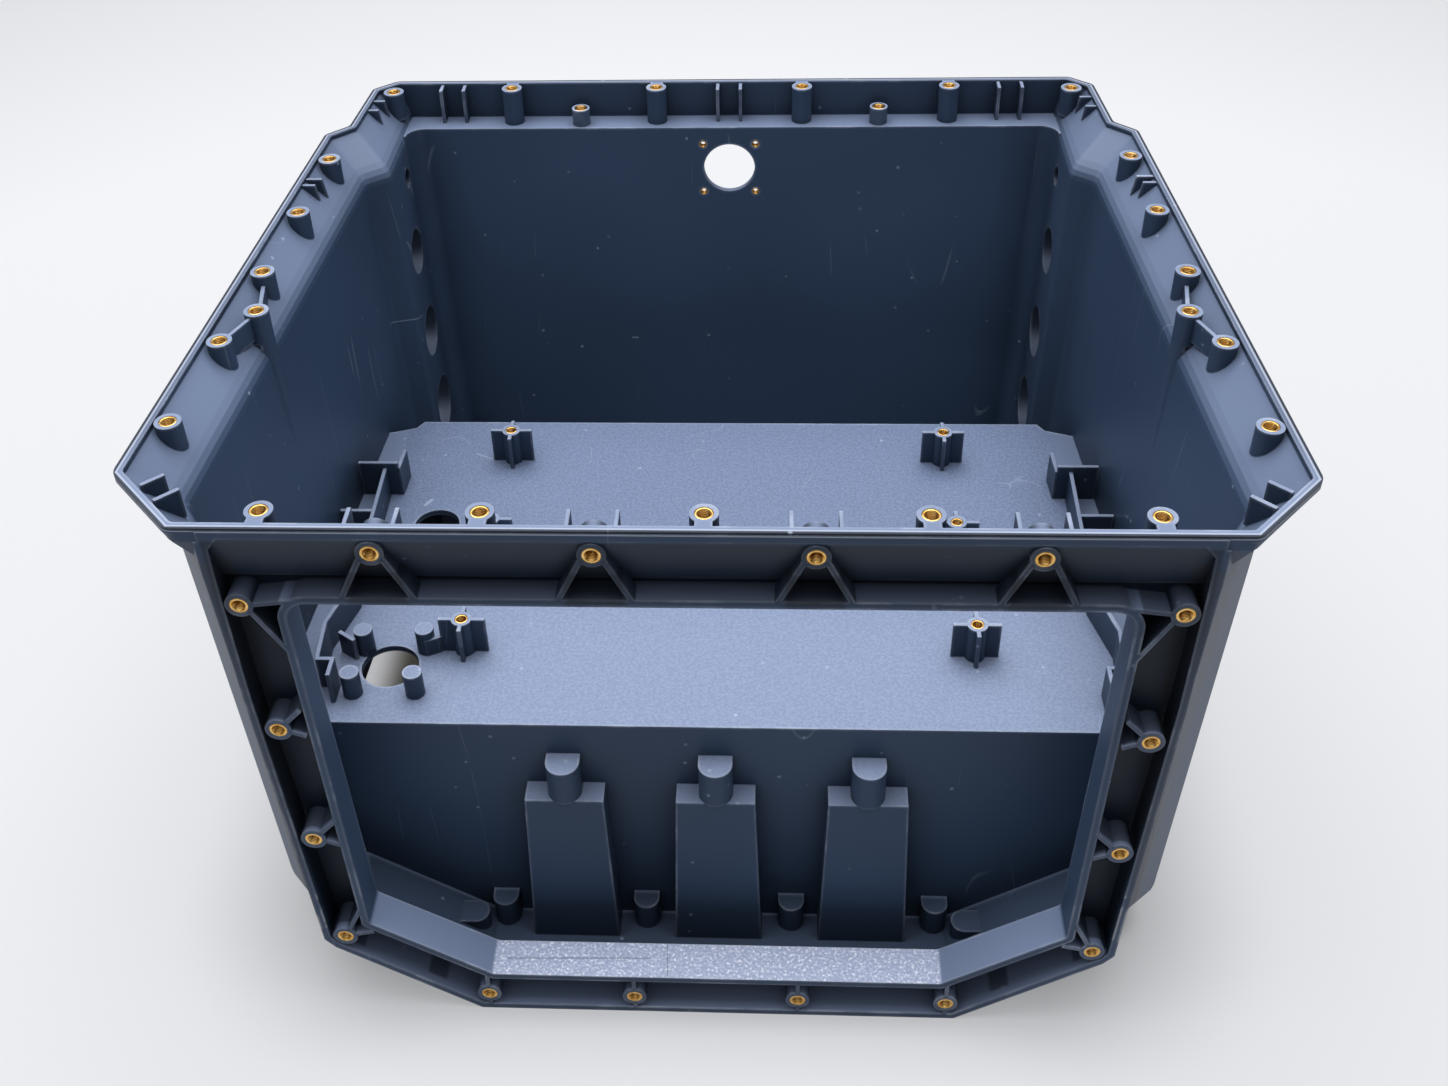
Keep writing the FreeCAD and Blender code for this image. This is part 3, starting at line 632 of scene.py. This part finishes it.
M5_BORE, M5_PITCH = 2.1 * MM, 0.8 * MM
M4_BORE, M4_PITCH = 1.7 * MM, 0.7 * MM
M3_BORE, M3_PITCH = 1.3 * MM, 0.5 * MM
UP, FORWARD = (0, 0, 1), (0, -1, 0)
threaded_inserts("rim_threads", "rim_inserts", UP, M5_BORE, M5_PITCH)
threaded_inserts("ledge_threads", "ledge_inserts", UP, M5_BORE, M5_PITCH)
threaded_inserts("frame_threads", "flange_inserts", FORWARD, M5_BORE, M5_PITCH)
threaded_inserts("shelf_threads", "shelf_inserts", UP, M4_BORE, M4_PITCH)
threaded_inserts("vent_threads", "vent_inserts", FORWARD, M3_BORE, M3_PITCH)

# %% [markdown]
# ## Studio: floor, light and camera
#
# The housing stands on a pale floor that runs up into a backdrop. One very large soft
# lamp hangs over it and reaches far behind it. Faces that look up mirror it dimly, which
# adds a little to the sheen painted on them. Faces that look at the camera have to stay
# dark, so the floor throws little light back at them, and the sky is bright above and dim
# at the horizon. Only the camera sees an even grey there, for views from behind.

# %% Floor and backdrop
PAINT, PAINTED_SHADOW_UNDERNEATH, FLAG = "#e1e2e5", "#5b5950", "#5f6064"


def painted_sweep():
    """Matt pale paint, with a painted shadow in dark grey under the housing. Seen directly or
    mirrored it is pale: part lit, part a glow. The glow is dimmed round the housing, which
    lets its shadow show and paints a soft shadow there, and falls to 0.6 far from the
    middle, a painted falloff of light. Light that it would throw back up is held low, as by
    a dark flag, so the faces towards the camera stay dark."""
    material, tree = new_material("painted studio sweep")
    place = add(tree, "TexCoord", output="Object")
    # A painted shadow: the floor's colour turns dark grey under the housing.
    shadow_underneath = inside(tree, place, (-178, -130, -10), (178, 150, 10), 22)
    colour = paint(tree, PAINT, [(shadow_underneath, PAINTED_SHADOW_UNDERNEATH)])
    lit = add(tree, "BsdfDiffuse", {"Color": colour}, 0)
    # The glow is dimmed within 120 mm of the housing: a painted shadow round it.
    near = inside(tree, place, (-150, -120, -10), (150, 120, 10), 120)
    open_floor = add(tree, "MapRange", {"Value": near, "To Min": 1.0, "To Max": 0.25}, "Result")
    away = add(tree, "VectorMath", {0: place}, "Value", operation="LENGTH")
    falloff = {"Value": away, "From Min": 0.8, "From Max": 1.5, "To Min": 1.0, "To Max": 0.6}
    falloff = add(tree, "MapRange", falloff, "Result")
    glow = {"Color": colour, "Strength": where(tree, open_floor, falloff)}
    seen = {0: 0.65, 1: lit, 2: add(tree, "Emission", glow, 0)}
    sides = {
        0: add(tree, "LightPath", output="Is Diffuse Ray"),
        1: add(tree, "MixShader", seen, 0),
        2: add(tree, "BsdfDiffuse", {"Color": FLAG}, 0),
    }
    add(tree, "OutputMaterial", {"Surface": add(tree, "MixShader", sides, 0)})
    return material


def sweep_backdrop():
    """A floor that bends up into a wall: a profile of (y, z) points carried along X.
    The bend is a quarter circle of radius R between the floor and the wall."""
    radius, front, back, top, half = 2.0, -7.0, 6.0, 6.0, 9.0
    bend = np.linspace(0, np.pi / 2, 24)
    y = np.concatenate([[front], back + radius * np.sin(bend), [back + radius]])
    z = np.concatenate([[0.0], radius * (1 - np.cos(bend)), [top]])
    points = np.stack([np.stack([np.full(len(y), x), y, z], 1) for x in (-half, half)], 1)
    r = np.arange(len(y) - 1)
    quads = np.stack([r * 2, r * 2 + 1, r * 2 + 3, r * 2 + 2], 1)
    piece = mesh_object("studio sweep", points.reshape(-1, 3), quads, painted_sweep())
    return piece


sweep = sweep_backdrop()
print("sweep, in metres:", [round(side, 1) for side in sweep.dimensions])

# %% Lights
def softbox(name, place, target, side, power):
    """A square area lamp that looks at the target. Its brightness is power / (pi * area)."""
    lamp = bpy.data.lights.new(name, "AREA")
    lamp.shape = "SQUARE"
    lamp.size = side
    lamp.energy = power
    holder = bpy.data.objects.new(name, lamp)
    bpy.context.scene.collection.objects.link(holder)
    holder.location = place
    holder.visible_camera = False
    holder.rotation_euler = (Vector(target) - Vector(place)).to_track_quat("-Z", "Y").to_euler()


def studio_dome():
    """Light from all round: its strength rises from 0.03 at a height of 0.1 to 1.05 at the
    top, and the camera alone sees an even 0.57."""
    world = bpy.data.worlds.new("studio dome")
    bpy.context.scene.world = world
    world.use_nodes = True
    tree = world.node_tree
    tree.nodes.clear()
    direction = add(tree, "TexCoord", output="Generated")
    height = add(tree, "SeparateXYZ", {"Vector": direction}, "Z")
    rising = {"Value": height, "From Min": 0.1, "To Min": 0.03, "To Max": 1.05}
    rising = add(tree, "MapRange", rising, "Result")
    seen = add(tree, "LightPath", output="Is Camera Ray")
    strength = add(tree, "MapRange", {"Value": seen, "To Min": rising, "To Max": 0.57}, "Result")
    light = add(tree, "Background", {"Color": "#f2f3f5", "Strength": strength}, 0)
    add(tree, "OutputWorld", {"Surface": light})


softbox("overhead softbox", (-0.25, 0.9, 3.0), (-0.25, 0.9, 0), 3.6, 132)
studio_dome()
bpy.context.scene.view_settings.view_transform = "Standard"
print("lamps:", [lamp.name for lamp in bpy.data.lights])

# %% [markdown]
# ## Camera
#
# The camera stands where the photograph was taken from: about 0.86 m away, turned by
# 3.7 degrees, looking down by 37 degrees, with a slight roll. Its lens comes from the
# ratio of the image's size to the object's size.

# %% Camera
def photo_camera():
    """Camera from yaw, pitch and roll: forward is turned by yaw and dipped by pitch, and
    the picture's right and down are turned about forward by roll."""
    yaw, pitch, roll = 0.065362, 0.650714, 0.034489
    focal_px, image_width, shift_px = 1573.56, 1448, (34, -93)
    cy, sy, cp, sp = math.cos(yaw), math.sin(yaw), math.cos(pitch), math.sin(pitch)
    forward = np.array([-sy * cp, cy * cp, -sp])
    right = np.array([cy, sy, 0.0])
    down = np.cross(forward, right)
    turned_right = math.cos(roll) * right + math.sin(roll) * down
    turned_down = -math.sin(roll) * right + math.cos(roll) * down
    lens = bpy.data.cameras.new("photo camera")
    lens.sensor_width = 36.0
    lens.lens = 36.0 * focal_px / image_width
    lens.shift_x = shift_px[0] / image_width
    lens.shift_y = shift_px[1] / image_width
    camera = bpy.data.objects.new("photo camera", lens)
    bpy.context.scene.collection.objects.link(camera)
    place = Matrix.Identity(4)
    for column, axis in enumerate((turned_right, -turned_down, -forward)):
        for row in range(3):
            place[row][column] = axis[row]
    place.translation = (0.023634, -0.597017, 0.628487)
    camera.matrix_world = place
    bpy.context.scene.camera = camera
    print("camera lens:", round(lens.lens, 1), "mm")


photo_camera()
